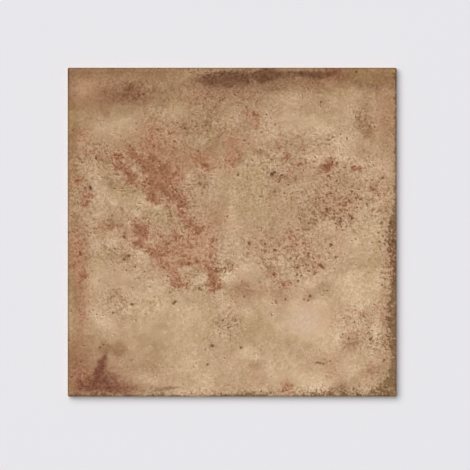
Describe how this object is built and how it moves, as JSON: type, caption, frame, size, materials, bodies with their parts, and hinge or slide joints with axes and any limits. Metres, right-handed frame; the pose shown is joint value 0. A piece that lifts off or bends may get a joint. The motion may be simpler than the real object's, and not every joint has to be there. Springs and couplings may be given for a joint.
{
  "type": "stone-look floor tile",
  "caption": "Square pressed porcelain floor tile with a mottled clay-stone look, cushioned edges, drafted sides and a ribbed keying grid on its back.",
  "frame": {"origin": "middle of the tile on its bed plane, the plane of the rib crests on the back", "axes": "+Z out of the wearing face, +X and +Y along the sides"},
  "size_m": [0.333, 0.333, 0.009],
  "materials": {
    "fired_tile": "matte"
  },
  "bodies": {
    "root": {"floor_tile": "fired_tile"}
  },
  "joints": []
}
